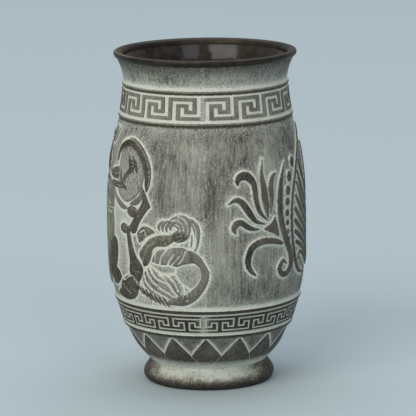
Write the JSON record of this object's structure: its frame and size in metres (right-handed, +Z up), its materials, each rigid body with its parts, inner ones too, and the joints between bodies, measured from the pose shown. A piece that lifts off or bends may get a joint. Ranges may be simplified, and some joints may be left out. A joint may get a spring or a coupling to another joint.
{
  "type": "vase",
  "caption": "Barrel-shaped stoneware vase with a flared dark-glazed lip, cords, key-pattern bands, a triangle frieze, a palmette, a warrior and a cloaked figure in low relief, and a foot ring.",
  "frame": {"origin": "centre of the foot's underside, on the surface that the vase stands on", "axes": "+Z up the vase's axis; -Y towards the front, where the mould seam runs; the warrior and the cloaked figure are on the -X side and the palmette on the +X side"},
  "size_m": [0.1679, 0.1666, 0.28],
  "materials": {
    "grey_clay": "grey-green slip-cast stoneware under a thin rubbed white wash, brushed by hand, matt",
    "dark_clay": "brown-black clay bared on the tops of the relief where the white wash was rubbed off, satin",
    "washed_foot": "cream-white wash worn through to brown clay in speckles, darker towards the table, matt",
    "dark_glaze": "brown-black gloss glaze, with copper-brown where it breaks on the lip"
  },
  "bodies": {
    "root": {"neck_wall": "grey_clay", "neck_key_wall": "grey_clay", "shoulder_wall": "grey_clay", "belly_wall_upper": "grey_clay", "belly_wall_middle": "grey_clay", "belly_wall_lower": "grey_clay", "base_key_wall": "grey_clay", "base_wall_upper": "grey_clay", "base_wall_lower": "grey_clay", "base_floor": "grey_clay", "foot_ring": "washed_foot", "rim_lip": "dark_glaze", "glaze_lining": "dark_glaze", "neck_cord_upper": "dark_clay", "neck_cord_lower": "dark_clay", "neck_key_band": "dark_clay", "belly_rib_upper": "dark_clay", "belly_rib_lower": "dark_clay", "base_key_hanging": "dark_clay", "base_key_standing": "dark_clay", "base_triangles_front": "grey_clay", "base_triangles_back": "grey_clay", "palmette_stem_left": "dark_clay", "palmette_stem_right": "dark_clay", "palmette_hook_leaf_left": "dark_clay", "palmette_hook_leaf_right": "dark_clay", "palmette_tall_leaf_left": "dark_clay", "palmette_tall_leaf_right": "dark_clay", "palmette_inner_leaf_left": "dark_clay", "palmette_inner_leaf_right": "dark_clay", "palmette_low_leaves_left": "dark_clay", "palmette_low_leaves_right": "dark_clay", "palmette_wedge_left": "dark_clay", "palmette_wedge_right": "dark_clay", "palmette_sickle_left": "dark_clay", "palmette_sickle_right": "dark_clay", "palmette_beads_left": "dark_clay", "palmette_beads_right": "dark_clay", "palmette_heart_frame": "dark_clay", "palmette_heart_fan": "dark_clay", "shield_rim": "dark_clay", "shield_face": "grey_clay", "shield_beast": "dark_clay", "shield_crescents": "dark_clay", "hair_knot": "dark_clay", "warrior_arm": "dark_clay", "warrior_leg": "dark_clay", "warrior_torso": "dark_clay", "warrior_helmet": "dark_clay", "warrior_spear": "dark_clay", "ground_rock": "grey_clay", "crouching_limb": "grey_clay", "cloak_bunch": "dark_clay", "cloak_curls": "grey_clay", "cloak_tail": "grey_clay", "cloak_back": "grey_clay", "cloak_folds": "grey_clay", "cloak_hem": "grey_clay"}
  },
  "joints": []
}
